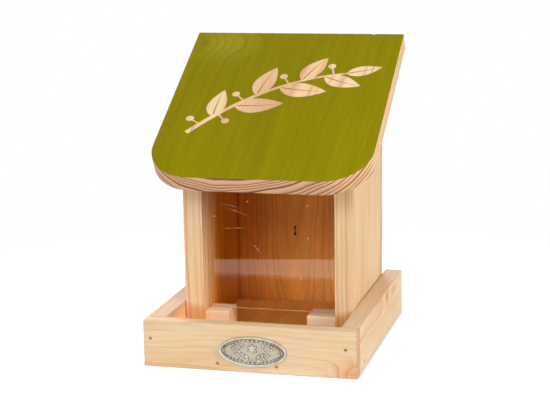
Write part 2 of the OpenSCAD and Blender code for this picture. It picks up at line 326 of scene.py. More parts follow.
# Where the painted warm shade inside the tray is full: how far in front of the back board, and how far below
# the rim of the tray
TRAY_SHADE_DEPTH = 40
TRAY_SHADE_HEIGHT = 9

# Bruised fibres round a nail, and painted shade in the dent round a leg of the staple: radius in millimetres,
# colour and strength
NAIL_MARK = (1.8, "#7A5A42", 0.25)
STAPLE_DENT_SHADE = (1.5, "#3A1C08", 1)


def fill_ramp(node, stops):
    """Sets the stops of a colour ramp, (place, colour) from 0 to 1."""
    elements = node.color_ramp.elements
    for place, colour in stops[1:-1]:
        elements.new(place).color = colour
    elements[0].color = stops[0][1]
    elements[-1].color = stops[-1][1]


def patches(tree, place, size, detail):
    """A soft random pattern. Its patches measure size along X, Y and Z, in the unit of place."""
    steps = put(tree, "VectorMath", place, [1 / s for s in size], **TIMES)
    return put(tree, "TexNoise", {"Vector": steps, "Scale": 1, "Detail": detail})


def coat(tree, looks, relief, strength, depth):
    """Ends a material: a surface with the looks given by name, and its relief to a depth in millimetres."""
    bump = put(tree, "Bump", {"Strength": strength, "Distance": depth * MM, "Height": relief})
    surface = put(tree, "BsdfPrincipled", {**looks, "Normal": bump})
    put(tree, "OutputMaterial", surface)
    return surface


def growth(tree, lie, pith, lean, ring, wander, knots=()):
    """Growth rings round a pith line, as a saw cuts them: late wood, fibre, drift, end grain and knots.

    A board's grain is lie to knots. pith is a point of the pith line and knots are (place, size,
    push, whether the dark heart shows), in millimetres in the feeder's frame.
    """
    turn = Euler([radians(a) for a in (*lean, 0)]).to_matrix() @ LIES[lie].to_matrix()
    spot = put(tree, "TexCoord").outputs
    local = put(tree, "Mapping", {
        "Vector": spot["Object"], "Scale": (1 / MM,) * 3, "Rotation": turn.to_euler(),
        "Location": -(turn @ Vector(pith))})
    bend = patches(tree, local, (60, 60, 190), 1)
    ripple = patches(tree, local, (14, 14, 45), 2)
    moved = local
    for wave, reach in ((bend, 2 * wander), (ripple, 1.6)):
        step = (reach, reach, 0)
        moved = put(tree, "VectorMath", wave.outputs["Color"], step, moved, operation="MULTIPLY_ADD")
    flat = put(tree, "VectorMath", moved, (1, 1, 0), **TIMES)
    radius = put(tree, "VectorMath", flat, operation="LENGTH")
    years = put(tree, "Math", radius, 1 / ring, **TIMES)
    uneven = put(tree, "TexNoise", {"W": years, "Scale": 0.45, "Detail": 0}, noise_dimensions="1D")
    years = put(tree, "Math", uneven, 1.4, years, operation="MULTIPLY_ADD")
    heart = near_knot = None
    for place, size, push, core in knots:
        near = put(tree, "VectorMath", spot["Object"], Vector(place) * MM, operation="SUBTRACT")
        near = put(tree, "VectorMath", near, [1 / (s * MM) for s in size], **TIMES)
        off = put(tree, "VectorMath", near, operation="LENGTH")
        fall = put(tree, "Math", off, off, **TIMES)
        fall = put(tree, "Math", fall, -KNOT_FADE, **TIMES)
        fall = put(tree, "Math", fall, operation="EXPONENT")
        years = put(tree, "Math", fall, push, years, operation="MULTIPLY_ADD")
        if core:
            heart = put(tree, "MapRange", off, 1.1, 0.75)
        else:
            near_knot = fall
    # Each year darkens slowly to its late wood and ends in a sharp line, and some years are fainter
    late = put(tree, "ValToRGB", put(tree, "Math", years, operation="FRACT"))
    fill_ramp(late, [(p, (v, v, v, 1)) for p, v in ((0, 0), (0.42, 0.05), (0.74, 0.45), (0.90, 1), (1, 0))])
    line = put(tree, "Math", late, 0.75, operation="POWER")
    year = put(tree, "Math", years, operation="FLOOR")
    rich = put(tree, "TexWhiteNoise", year, noise_dimensions="1D")
    rich = put(tree, "MapRange", rich, 0, 1, 0.45, 1)
    late = put(tree, "Math", late, rich, **TIMES)
    axis = LIES[lie].to_matrix().inverted() @ Vector((0, 0, 1))
    end = put(tree, "VectorMath", spot["Normal"], axis, operation="DOT_PRODUCT")
    end = put(tree, "Math", end, operation="ABSOLUTE")
    return SimpleNamespace(
        late=late, line=line, heart=heart, near_knot=near_knot, spot=spot["Object"], local=local,
        fibre=patches(tree, local, (0.9, 0.9, 34), 3), drift=patches(tree, local, (26, 26, 120), 2),
        end=put(tree, "MapRange", end, 0.05, 0.4))


def hollow(tree, spot, edges):
    """A mask that fills a hollow, and the spot's X, Y and Z. edges are (axis, start, full) in millimetres."""
    parts = put(tree, "SeparateXYZ", spot).outputs
    aside = put(tree, "Math", parts["X"], operation="ABSOLUTE")
    whole = 1
    for axis, start, full in edges:
        value = aside if axis == "aside" else parts[axis]
        step = put(tree, "MapRange", value, start * MM, full * MM, interpolation_type="SMOOTHSTEP")
        whole = put(tree, "Math", whole, step, **TIMES)
    return whole, parts


def chamber_shade(tree, spot):
    """How far the painted shade of the seed chamber reaches: full on the faces of the seed chamber, none
    outside it, deepest on the left.
    """
    whole, parts = hollow(tree, spot, (
        ("aside", CHAMBER_HALF + MASK_START, CHAMBER_HALF + MASK_FULL), ("Y", *CHAMBER_SHADE_DEPTH),
        ("Y", back_low.y + MASK_START, back_low.y + MASK_FULL),
        ("Z", floor_high.z - MASK_START, floor_high.z - MASK_FULL), ("Z", *CHAMBER_SHADE_HEIGHT)))
    # Painted shade: deeper on the left of the chamber
    fade = put(tree, "MapRange", parts["X"], -CHAMBER_HALF * MM, CHAMBER_HALF * MM, 1, 0.72)
    return put(tree, "Math", whole, fade, **TIMES)


def tray_warm_shade(tree, spot):
    """How far painted warm shade tones the wood inside the open tray: full near its floor, none at its rim.
    """
    return hollow(tree, spot, (
        ("aside", side_low.x + MASK_START, side_low.x + MASK_FULL),
        ("Y", front_high.y - MASK_START, front_high.y - MASK_FULL),
        ("Y", back_low.y, back_low.y - TRAY_SHADE_DEPTH),
        ("Z", side_high.z - MASK_START, side_high.z - TRAY_SHADE_HEIGHT)))[0]


def chamber_shade_colour(tree, cut, amount, shade_tones):
    """Painted shade of the seed chamber in blotches along the fibre, deepest in the back board's left corner.
    """
    colour = put(tree, "Mix", amount, tone(shade_tones[0]), tone(shade_tones[1]), **BLEND)
    blotch = put(tree, "MapRange", patches(tree, cut.local, (14, 14, 90), 2), 0.35, 0.68, 0.9, 1.08)
    colour = put(tree, "Mix", 1, colour, blotch, **TINT)
    parts = put(tree, "SeparateXYZ", cut.spot).outputs
    left = put(tree, "MapRange", parts["X"], -CHAMBER_HALF * MM, 0, 1, 0, interpolation_type="SMOOTHSTEP")
    rear = put(tree, "MapRange", parts["Y"], (back_low.y - CORNER_SHADE_DEPTH) * MM, back_low.y * MM)
    # Painted shade: the back board's left corner is toned darker
    deep = put(tree, "Math", left, rear, **TIMES)
    return put(tree, "Mix", deep, colour, tone("#D4B49A"), **TINT)


def wood_colour(tree, cut, early, late, strength, shade_tones, ends, rim):
    """Planed pine: pale early wood, amber late wood lines, pinkish end grain with darker rings."""
    boost = put(tree, "Math", cut.near_knot or 0, strength, operation="ADD")
    amount = put(tree, "Math", cut.late, boost, use_clamp=True, **TIMES)
    side = put(tree, "Mix", amount, tone(early), tone(late), **BLEND)
    if shade_tones:
        # Painted shade: a warm tone inside the open tray; outside it the wood takes the rim colour
        tray_shade_and_chamber_sheen = put(tree, "Mix", tray_warm_shade(tree, cut.spot), tone(rim), tone("#FFE6C2"), **BLEND)
        side = put(tree, "Mix", 1, side, tray_shade_and_chamber_sheen, **TINT)
        # Painted shade: the deep orange of the seed chamber
        side = put(tree, "Mix", chamber_shade(tree, cut.spot), side, chamber_shade_colour(tree, cut, amount, shade_tones), **BLEND)
    warm = put(tree, "MapRange", cut.drift, 0.35, 0.7, 0, 0.4)
    side = put(tree, "Mix", warm, side, tone("#EBC69C"), **TINT)
    if cut.near_knot:
        side = put(tree, "Mix", cut.near_knot, side, tone("#F6CFB4"), **TINT)
    end = put(tree, "Mix", cut.line, tone(ends[0]), tone(ends[1]), **BLEND)
    colour = put(tree, "Mix", cut.end, side, end, **BLEND)
    streak = put(tree, "MapRange", cut.fibre, 0.3, 0.7, 0.90, 1.05)
    colour = put(tree, "Mix", 1, colour, streak, **TINT)
    if cut.heart:
        colour = put(tree, "Mix", cut.heart, colour, tone("#C4946A"), **BLEND)
    return colour


def bruise_and_dent_shade(tree, cut, colour, marks):
    """Darkens the wood round each nail, as bruised fibres, and round each staple leg, as painted shade of its
    dent. marks are (place, radius in mm, colour, strength).
    """
    for place, radius, code, strength in marks:
        gap = put(tree, "VectorMath", cut.spot, Vector(place) * MM, operation="DISTANCE")
        dark = put(tree, "MapRange", gap, radius * MM, radius * 0.6 * MM, 0, strength)
        colour = put(tree, "Mix", dark, colour, tone(code), **TINT)
    return colour


def nail_marks(places):
    """The pressed and slightly rusty fibres round nails."""
    return [(place, *NAIL_MARK) for place in places]


def pine(name, grain, marks=(), early="#EACCA4", late="#C98F58", strength=0.9, shade_tones=WALL_CHAMBER_SHADE,
         ends=BOARD_ENDS, rim="#FFFFFF"):
    """Planed, unfinished pine: soft sheen along the fibre, fine raised grain that catches side light."""
    material, tree = cleared(bpy.data.materials.new(name))
    cut = growth(tree, *grain)
    colour = bruise_and_dent_shade(tree, cut, wood_colour(tree, cut, early, late, strength, shade_tones, ends, rim), marks)
    relief = put(tree, "Math", cut.late, 0.5, cut.fibre, operation="MULTIPLY_ADD")
    looks = {"Base Color": colour, "Roughness": 0.65, "IOR": 1.5, "Specular IOR Level": 0.35}
    surface = coat(tree, looks, relief, 0.35, 0.15)
    if shade_tones:
        # Less sheen inside the seed chamber
        tray_shade_and_chamber_sheen = put(tree, "MapRange", chamber_shade(tree, cut.spot), 0, 1, 0.35, 0.08)
        tree.links.new(tray_shade_and_chamber_sheen.outputs[0], surface.inputs["Specular IOR Level"])
    return material


def stained_pine(name, grain):
    """Olive wood stain brushed on the roof's top: an even, slightly silky coat that lets the rings show."""
    material, tree = cleared(bpy.data.materials.new(name))
    cut = growth(tree, *grain)
    grainy = put(tree, "Mix", cut.late, tone("#807700"), tone("#786F02"), **BLEND)
    swirl = put(tree, "MapRange", cut.late, 0, 1, 0.55, 0)
    swirl = put(tree, "Math", swirl, cut.near_knot, **TIMES)
    grainy = put(tree, "Mix", swirl, grainy, tone("#A39A2E"), **BLEND)
    thin = put(tree, "MapRange", patches(tree, cut.local, (5, 5, 90), 2), 0.45, 0.75, 0, 0.55)
    colour = put(tree, "Mix", thin, grainy, tone("#8C8204"), **BLEND)
    looks = {"Base Color": colour, "Roughness": 0.75, "IOR": 1.5, "Specular IOR Level": 0.06}
    coat(tree, looks, cut.fibre, 0.3, 0.1)
    return material


# Hairline scratches on the pane, in millimetres: centre X and Z and radius of each arc, then the middle of
# the part that shows
SCRATCHES = (
    ((-42.6, 65.3), 46.0, (-29, 109)), ((-46, 60), 55.3, (-34, 114)), ((-20, -60), 156.0, (-32, 94)),
    ((-60, 40), 61.0, (-13, 77)),
)
SCRATCH_REACH = 10
SCRATCH_WIDTH = 0.3
CRUMB = (1.2 * MM, MM, 1.2 * MM)
SPECK_STEP = 7 * MM

# How far a scratch and a speck hide the clear pane
SCRATCH_SHARE = 0.68
SPECK_SHARE = 0.85


def clear_acrylic():
    """Cast acrylic sheet, polished: clear, with a mirror sheen, a few hairline scratches and specks."""
    material, tree = cleared(bpy.data.materials.new("clear acrylic"))
    rays = put(tree, "LightPath").outputs
    passing = put(tree, "Math", rays["Is Shadow Ray"], rays["Is Diffuse Ray"], operation="MAXIMUM")
    pane = put(tree, "BsdfPrincipled", {
        "Base Color": tone("#FFFFFF"), "Roughness": 0, "IOR": 1.49, "Transmission Weight": 1})
    clear = put(tree, "MixShader", passing, pane, put(tree, "BsdfTransparent", tone("#F6F6F6")))
    flat = put(tree, "VectorMath", put(tree, "TexCoord").outputs["Object"], (1, 0, 1), **TIMES)
    fade = put(tree, "MapRange", patches(tree, flat, CRUMB, 1), 0.45, 0.6, 0, SCRATCH_SHARE)
    marks = 0
    for (x, z), radius, (mid_x, mid_z) in SCRATCHES:
        out = put(tree, "VectorMath", flat, Vector((x, 0, z)) * MM, operation="DISTANCE")
        miss = put(tree, "Math", out, radius * MM, operation="SUBTRACT")
        miss = put(tree, "Math", miss, operation="ABSOLUTE")
        line = put(tree, "MapRange", miss, SCRATCH_WIDTH * MM, 0)
        gone = put(tree, "VectorMath", flat, Vector((mid_x, 0, mid_z)) * MM, operation="DISTANCE")
        part = put(tree, "MapRange", gone, SCRATCH_REACH * MM, SCRATCH_REACH * MM / 2)
        line = put(tree, "Math", line, part, **TIMES)
        marks = put(tree, "Math", marks, line, operation="MAXIMUM")
    marks = put(tree, "Math", marks, fade, **TIMES)
    cells = put(tree, "TexVoronoi", {"Vector": flat, "Scale": 1 / SPECK_STEP}).outputs
    speck = put(tree, "MapRange", cells["Distance"], 0.11, 0.08, 0, SPECK_SHARE)
    kept = put(tree, "Math", put(tree, "SeparateColor", cells["Color"]), 0.3, operation="LESS_THAN")
    speck = put(tree, "Math", speck, kept, **TIMES)
    marks = put(tree, "Math", marks, speck, operation="MAXIMUM")
    shown = put(tree, "MixShader", marks, clear, put(tree, "BsdfDiffuse", tone("#F0C898")))
    put(tree, "OutputMaterial", shown)
    return material


def sawn_acrylic(name, colour, clear):
    """A sawn edge of the acrylic sheet: saw lines across a frosted face that catches the light."""
    material, tree = cleared(bpy.data.materials.new(name))
    lines = patches(tree, put(tree, "TexCoord").outputs["Object"], [0.8 * MM] * 3, 2)
    looks = {"Base Color": tone(colour), "Roughness": 0.5, "IOR": 1.49, "Specular IOR Level": 0.1,
             "Transmission Weight": clear}
    coat(tree, looks, lines, 0.4, 0.05)
    return material


def dull_metal(name, light, dark, grain_mm, rough):
    """Bare metal that has dulled: blotches of a darker skin over a brushed or rolled surface."""
    material, tree = cleared(bpy.data.materials.new(name))
    skin = patches(tree, put(tree, "TexCoord").outputs["Object"], [grain_mm * MM] * 3, 4)
    amount = put(tree, "MapRange", skin, 0.38, 0.66)
    colour = put(tree, "Mix", amount, tone(light), tone(dark), **BLEND)
    matt = put(tree, "MapRange", skin, 0.3, 0.7, rough - 0.08, rough + 0.12)
    coat(tree, {"Base Color": colour, "Roughness": matt, "Metallic": 1}, skin, 0.3, 0.05)
    return material


# Tones of the pewter from its field out to its highest relief: a pale field, dark feet, rubbed tops
PATINA = (
    (0, "#B8B5B0"), (0.03, "#B8B5B0"), (0.05, "#3A3732"), (0.12, "#3A3732"), (0.2, "#C6C4C0"),
    (0.42, "#D6D4D0"), (0.5, "#C8C6C2"), (1, "#C8C6C2"),
)


def cast_pewter():
    """Cast pewter, aged: a sandy field, darker in its recesses and brighter where hands rub the relief."""
    material, tree = cleared(bpy.data.materials.new("aged cast pewter"))
    spot = put(tree, "TexCoord").outputs["Object"]
    depth = put(tree, "SeparateXYZ", spot).outputs["Y"]
    field, top = badge_high.y - BADGE_FIELD, badge_low.y - BADGE_RELIEF
    patina = put(tree, "ValToRGB", put(tree, "MapRange", depth, field * MM, top * MM))
    fill_ramp(patina, [(place, tone(code)) for place, code in PATINA])
    grime = put(tree, "MapRange", patches(tree, spot, [5 * MM] * 3, 2), 0.35, 0.7, 0, 0.35)
    colour = put(tree, "Mix", grime, patina, tone("#A09888"), **TINT)
    gap = put(tree, "AmbientOcclusion", {"Distance": 0.9 * MM}, samples=8)
    crevice = put(tree, "MapRange", gap.outputs["AO"], 0.55, 0.95, 0.4, 1)
    colour = put(tree, "Mix", 1, colour, crevice, **TINT)
    sand = patches(tree, spot, [0.7 * MM] * 3, 3)
    coat(tree, {"Base Color": colour, "Roughness": 0.5, "Metallic": 1}, sand, 0.5, 0.12)
    return material


# Boards

# How far a cutter reaches past the face that it starts from, in millimetres, and the sides of a round one
CUT_PAST = 1
SEAT_PAST = 2
GROOVE_PAST = 10
HOLE_SIDES = 24


def band(bm, first, second, finish=0, smooth=True):
    """Faces between two rings of points."""
    for i in range(len(first)):
        j = (i + 1) % len(first)
        face = bm.faces.new((first[i], first[j], second[j], second[i]))
        face.material_index = finish
        face.smooth = smooth


def prism(outline, start, end):
    """A board from its outline in Y and Z, running along X."""
    bm = bmesh.new()
    ends = [[bm.verts.new((x, y, z)) for y, z in outline] for x in (start, end)]
    bm.faces.new(ends[0])
    bm.faces.new(reversed(ends[1]))
    band(bm, *ends, smooth=False)
    return bm


def rounded(bm, radius):
    """Softens every edge, as sanding does."""
    bmesh.ops.bevel(bm, geom=bm.edges[:], offset=radius, segments=3, profile=0.5, affect="EDGES")
    return bm


def squared(low, high, radius=ARRIS):
    """A square board between two corners."""
    outline = [(low.y, low.z), (high.y, low.z), (high.y, high.z), (low.y, high.z)]
    return rounded(prism(outline, low.x, high.x), radius)


def carve(obj, *cutters):
    """Cuts shapes drawn in millimetres out of a board."""
    for bm in cutters:
        tool = from_bmesh("cutter", bm)
        cut = obj.modifiers.new("cut", "BOOLEAN")
        cut.object = tool
        cut.operation = "DIFFERENCE"
        cut.solver = "EXACT"
        settle(obj)
        bpy.data.objects.remove(tool)
    return obj


def drill(places, way, radius=NAIL_HOLE_RADIUS, depth=HEAD_DEPTH):
    """Round holes that start just outside the wood and run along way."""
    bm = bmesh.new()
    aim = Vector(way).to_track_quat("Z", "Y").to_matrix().to_4x4()
    for place in places:
        centre = Vector(place) + Vector(way) * (depth - CUT_PAST) / 2
        bmesh.ops.create_cone(
            bm, cap_ends=True, segments=HOLE_SIDES, radius1=radius, radius2=radius, depth=depth + CUT_PAST,
            matrix=Matrix.Translation(centre) @ aim)
    return bm


def block_cutter(low, high, place=Matrix()):
    """A square-edged cutter between two corners, in the frame of place."""
    bm = bmesh.new()
    size = Vector(high) - Vector(low)
    middle = (Vector(high) + Vector(low)) / 2
    bmesh.ops.create_cube(bm, size=1, matrix=place @ Matrix.Translation(middle) @ Matrix.Diagonal((*size, 1)))
    return bm


def leaf_seats(kind, bottom, top):
    """Cutters for the seats of two hinge leaves, between two heights in the seam's frame."""
    start = HINGE_BACK - LEAF_WIDTH - LEAF_PLAY
    leaves = [span(side + kind) for side in ("left_", "right_")]
    return [block_cutter((low.x - LEAF_PLAY, start, bottom), (high.x + LEAF_PLAY, HINGE_BACK, top), SEAM)
            for low, high in leaves]


def nail_places(node, along, start, counts=(1, 1, 1)):
    """Where a node's nails are, from its box: heads at start on the axis along, and counts on X, Y and Z."""
    low, high = span(node)
    steps = []
    for axis, count in enumerate(counts):
        first, last = low[axis] + NAIL_HEAD_RADIUS, high[axis] - NAIL_HEAD_RADIUS
        if axis == along:
            steps.append([start])
        elif count == 1:
            steps.append([(low[axis] + high[axis]) / 2])
        else:
            steps.append([first + (last - first) * i / (count - 1) for i in range(count)])
    return [Vector(place) for place in itertools.product(*steps)]


end_nails = nail_places("front_end_nails", 1, front_low.y, (2, 1, 1))
front_nails = nail_places("front_floor_nails", 1, front_low.y, (2, 1, 1))
left_nail = nail_places("side_floor_nails", 0, -side_high.x)
right_nail = nail_places("side_floor_nails", 0, side_high.x)
wall_nails = nail_places("wall_floor_nails", 2, 0, (2, 2, 1))
back_nails = nail_places("back_board_nails", 1, back_high.y, (2, 1, 3))


def sloped(low, high):
    """A board between two corners, with its top cut along the seam."""
    rise = tan(radians(ROOF_SLOPE))
    tops = [(y, back_high.z + (y - back_high.y) * rise) for y in (high.y, low.y)]
    return rounded(prism([(low.y, low.z), (high.y, low.z), *tops], low.x, high.x), FINE_ARRIS)


def make_board(name, node, mesh, wood, *cutters):
    """A finished board of the house, less what its cutters take out."""
    finish_piece(carve(from_bmesh(name, mesh, wood), *cutters), "house", "pine", node)


def make_tray():
    wood = pine("pine, floor board", ("back", (20, 0, -40), (1.5, 1.0), 3.6, 6), nail_marks(wall_nails),
                shade_tones=FLOOR_CHAMBER_SHADE)
    make_board("tray_floor", "floor_board", squared(floor_low, floor_high, FINE_ARRIS), wood,
               drill(wall_nails, (0, 0, 1)))

    knot = ((85, front_low.y, 0), (8, 20, 5.5), 3.2, False)
    nails = end_nails + front_nails
    grain = ("across", (0, front_high.y + 46, -22), (1.6, 1.2), 2.9, 8, (knot,))
    wood = pine("pine, front board", grain, nail_marks(nails), early="#E0C59F", strength=0.42)
    make_board("tray_front", "front_board", squared(front_low, front_high), wood, drill(nails, (0, 1, 0)))

    knot = ((side_high.x, front_low.y + 124.8, 32), (7, 6, 4), 1.2, True)
    # rim is the tone of a board outside the tray: grey on the left board, none on the right
    left = (left_nail, (1, 0, 0), (-40, 0, 60), (), "#FCD8AE", "#EEBE8C", 3.0, "#D8D8DE")
    right = (right_nail, (-1, 0, 0), (50, 0, 30), (knot,), "#E8CCAA", "#C08E60", 1.8, "#FFFFFF")
    for side, (nails, way, pith, knots, early, late, ring, rim) in (("left", left), ("right", right)):
        node = side + "_side_board"
        grain = ("back", pith, (0.6, 0.8), ring, 4, knots)
        wood = pine("pine, tray " + side, grain, nail_marks(nails), early, late, strength=0.7, rim=rim)
        make_board("tray_" + side, node, squared(*span(node)), wood, drill(nails, way))


def make_walls():
    window_low, window_high = span("window")
    left, right = ("left", -1, (-95, 10, 0), "#EACCA4"), ("right", 1, (100, -70, 0), "#E4C69E")
    for name, way, pith, early in (left, right):
        low, high = span(name + "_wall")
        wood = pine("pine, wall " + name, ("up", pith, (0.5, 0.5), 3.2, 2.5), early=early, strength=0.75)
        inner = low.x if way > 0 else high.x
        start, end = sorted((inner - way * CUT_PAST, inner + way * GROOVE_DEPTH))
        groove = block_cutter((start, window_low.y - GROOVE_PLAY, low.z - CUT_PAST),
                              (end, window_high.y + GROOVE_PLAY, high.z + GROOVE_PAST))
        make_board("wall_" + name, name + "_wall", sloped(low, high), wood, groove)

    staple_low, staple_high = span("back_staple")
    staple_x = (staple_low.x + staple_high.x) / 2
    # Painted shade in the dents round the staple's legs
    staple_marks = [((staple_x, back_low.y, z), *STAPLE_DENT_SHADE)
                    for z in (staple_low.z + STAPLE_WIRE, staple_high.z - STAPLE_WIRE)]
    grain = ("up", (10, back_low.y + 30, 60), (-6, 1), 4.5, 12)
    wood = pine("pine, back board", grain, nail_marks(back_nails) + staple_marks, early="#DFC19E",
                strength=0.8, shade_tones=BACK_CHAMBER_SHADE)
    make_board("house_back", "back_board", sloped(back_low, back_high), wood, drill(back_nails, (0, -1, 0)),
               *leaf_seats("lower_leaf", -LEAF_THICK - LEAF_PLAY, SEAT_PAST))


def make_blocks():
    for side, x in (("left", -20), ("right", 10)):
        low, high = span(side + "_block")
        grain = ("across", (x, low.y - 30, 70), (1, 1), 3.4, 4)
        # Painted light: the blocks' pine is paler than the boards', so that the blocks in the roof's shade
        # show bright
        wood = pine("pine, block " + side, grain, early="#FFE6C4", late="#F4BE8E", strength=0.7, shade_tones=None,
                    ends=BLOCK_ENDS)
        make_board("block_" + side, side + "_block", squared(low, high, BLOCK_ARRIS), wood)


# Roof, drawn in the seam's frame, in millimetres

ROOF_TOP = ROOF_SEAT + ROOF_THICK
ROOF_GRAIN = ("slope", SEAM @ Vector((-12, -185, 128)), (1.6, -0.8), 3.9, 7)
ROOF_SWIRL = (SEAM @ Vector((-62, -12, ROOF_TOP)), (11, 8, 22), 1.9, False)
CHIP_PLACE = (63.8, ROOF_OVERHANG + 0.6, ROOF_TOP + 0.4)
CHIP_SIZE = (2.9, 1.9, 1.5)
ARRIS_STEPS = 4

# The sprig: its stem's start, pull and end, the place on the stem, side and length of each leaf, and the
# place and side of each twig
SPRIG_STEM = ((-66, -132), (-14, -62), (52, -52))
SPRIG_LEAVES = ((0.15, 1, 34), (0.28, -1, 40), (0.42, 1, 38), (0.56, -1, 40), (0.70, 1, 35), (0.84, -1, 34))
SPRIG_TWIGS = ((0.08, 1), (0.19, -1), (0.35, 1), (0.63, 1), (0.91, 1))
STEM_WIDTH = (4.4, 1.6)
TWIG_WIDTH = (1.5, 1.2)
TWIG_LENGTH = 12
RIB_WIDTH = 1.3
BERRY_RADIUS = 3.3
BERRY_TURNS = [2 * pi * i / 24 for i in range(24)]


def roof_outline(inset):
    """The roof's outline, drawn in by inset: small rear corners and large front ones."""
    half = span("roof_board")[1].x
    rear, front = ROOF_OVERHANG - REAR_CORNER, ROOF_OVERHANG - ROOF_LENGTH + ROOF_CORNER
    points = []
    for turn, (x, y, radius, steps) in enumerate((
            (half - REAR_CORNER, rear, REAR_CORNER, 6), (-half + REAR_CORNER, rear, REAR_CORNER, 6),
            (-half + ROOF_CORNER, front, ROOF_CORNER, 40), (half - ROOF_CORNER, front, ROOF_CORNER, 40))):
        for i in range(steps + 1):
            a = radians(90 * turn + 90 * i / steps)
            points.append((x + (radius - inset) * cos(a), y + (radius - inset) * sin(a)))
    return points


def leaf_halves(foot, angle, length, width, bend):
    """A pointed leaf, with its midrib left as a thin line between two halves."""
    a = radians(angle)
    along, across = Vector((cos(a), sin(a))), Vector((-sin(a), cos(a)))
    halves = []
    steps = 18
    for side in (-1, 1):
        rib, edge = [], []
        for i in range(steps + 1):
            t = i / steps
            middle = foot + along * length * t + across * length * bend * t * t
            half = width / 2 * sin(pi * t ** 0.8) ** 0.9
            rib.append(middle + across * side * RIB_WIDTH / 2 * (1 - t) * min(1, 8 * t))
            edge.append(middle + across * side * max(half, RIB_WIDTH / 2 * (1 - t)))
        loop = rib + edge[-2:0:-1]
        halves.append(loop[::-1] if side < 0 else loop)
    return halves


def curve_at(t, start, pull, end):
    """Point and direction of a stem at t from 0 to 1."""
    a, b, c = Vector(start), Vector(pull), Vector(end)
    point = a * (1 - t) ** 2 + b * 2 * t * (1 - t) + c * t * t
    way = ((b - a) * (1 - t) + (c - b) * t).normalized()
    return point, way


def heading(way):
    """Angle of a direction, in degrees."""
    return degrees(atan2(way.y, way.x))


def stem_shape(start, pull, end, thick, thin):
    """A tapering stem along a curve."""
    left, right = [], []
    steps = 30
    for i in range(steps + 1):
        t = i / steps
        point, way = curve_at(t, start, pull, end)
        half = (thick + (thin - thick) * t) / 2
        across = Vector((-way.y, way.x))
        left.append(point + across * half)
        right.append(point - across * half)
    return right + left[::-1]


def sprig():
    """Outlines of a leafy sprig with berries, left bare in the stain."""
    shapes = [stem_shape(*SPRIG_STEM, *STEM_WIDTH)]
    for t, side, length in SPRIG_LEAVES:
        point, way = curve_at(t, *SPRIG_STEM)
        angle = heading(way) + side * 46
        shapes += leaf_halves(point + way * 1.5, angle, length, length * 0.46, -side * 0.14)
    tip, way = curve_at(1, *SPRIG_STEM)
    shapes += leaf_halves(tip - way * 2, heading(way) + 6, 30, 12.5, 0.05)
    for t, side in SPRIG_TWIGS:
        point, way = curve_at(t, *SPRIG_STEM)
        angle = radians(heading(way) + side * 94)
        end = point + Vector((cos(angle), sin(angle))) * TWIG_LENGTH
        shapes.append(stem_shape(point, (point + end) / 2, end, *TWIG_WIDTH))
        shapes.append([(end.x + BERRY_RADIUS * cos(a), end.y + BERRY_RADIUS * sin(a)) for a in BERRY_TURNS])
    return shapes


def roof_mesh():
    """The roof board, its rim rounded and its top cut along the sprig. Finish 0 is stained and 1 is bare."""
    bm = bmesh.new()
    rings = []
    for i in range(ARRIS_STEPS + 1):
        a = pi / 2 * i / ARRIS_STEPS
        rings.append((ROOF_ARRIS * (1 - sin(a)), ROOF_TOP - ROOF_ARRIS * (1 - cos(a))))
    rings += [(inset, ROOF_SEAT + ROOF_TOP - height) for inset, height in reversed(rings)]
    loops = [[bm.verts.new((x, y, height)) for x, y in roof_outline(inset)] for inset, height in rings]
    for number, (upper, lower) in enumerate(zip(loops, loops[1:])):
        band(bm, upper, lower, 0 if number < ARRIS_STEPS - 1 else 1)
    bm.faces.new(loops[-1]).material_index = 1

    outlines = [roof_outline(ROOF_ARRIS)] + sprig()
    points = [Vector(p) for outline in outlines for p in outline]
    order = itertools.count()
    faces = [[next(order) for p in outline] for outline in outlines]
    flat, _, cells, _, _, owners = delaunay_2d_cdt(points, [], faces, 1, 1e-5)
    rim = {tuple(round(c, 3) for c in point.co[:2]): point for point in loops[0]}
    spots = [rim.get((round(p.x, 3), round(p.y, 3))) or bm.verts.new((p.x, p.y, ROOF_TOP)) for p in flat]
    for cell, owner in zip(cells, owners):
        face = bm.faces.new([spots[i] for i in cell])
        face.material_index = 1 if any(o > 0 for o in owner) else 0
    bmesh.ops.transform(bm, matrix=SEAM, verts=bm.verts)
    return bm


def make_roof():
    stain = stained_pine("olive stain on pine", (*ROOF_GRAIN, (ROOF_SWIRL,)))
    bare = pine("pine, roof board", ROOF_GRAIN, late="#C48458", strength=0.85, shade_tones=None, ends=ROOF_ENDS)
    board = from_bmesh("roof", roof_mesh(), stain, bare)
    board.data.set_sharp_from_angle(angle=radians(20))
    chip = bmesh.new()
    place = SEAM @ Matrix.Translation(CHIP_PLACE) @ Matrix.Diagonal((*CHIP_SIZE, 1))
    bmesh.ops.create_icosphere(chip, subdivisions=3, radius=1, matrix=place)
    carve(board, *leaf_seats("upper_leaf", -SEAT_PAST, ROOF_SEAT + LEAF_THICK + LEAF_PLAY), chip)
    finish_piece(board, "roof", "painted_pine", "roof_board")


def make_window():
    low, high = span("window")
    bm = squared(low, high, PANE_ARRIS)
    for face in bm.faces:
        face.normal_update()
        low_edge = face.calc_center_median().z < low.z + 1
        face.material_index = 0 if abs(face.normal.y) > 0.9 else 2 if low_edge else 1
    pane = from_bmesh("pane", bm, clear_acrylic(), sawn_acrylic("sawn acrylic edge", "#D8C0A4", 0.9),
                      sawn_acrylic("dusty acrylic edge", "#E8AE80", 0))
    finish_piece(pane, "window", "acrylic", "window")


# Repeated pieces: one seed for all, how far each wavers, and its turn from the one before, in degrees

LAYOUT_SEED = 7
WAVER = 2.0
STOCK_SIZE = 1.0
NAIL_TURN = 20
SCREW_TURN = 35


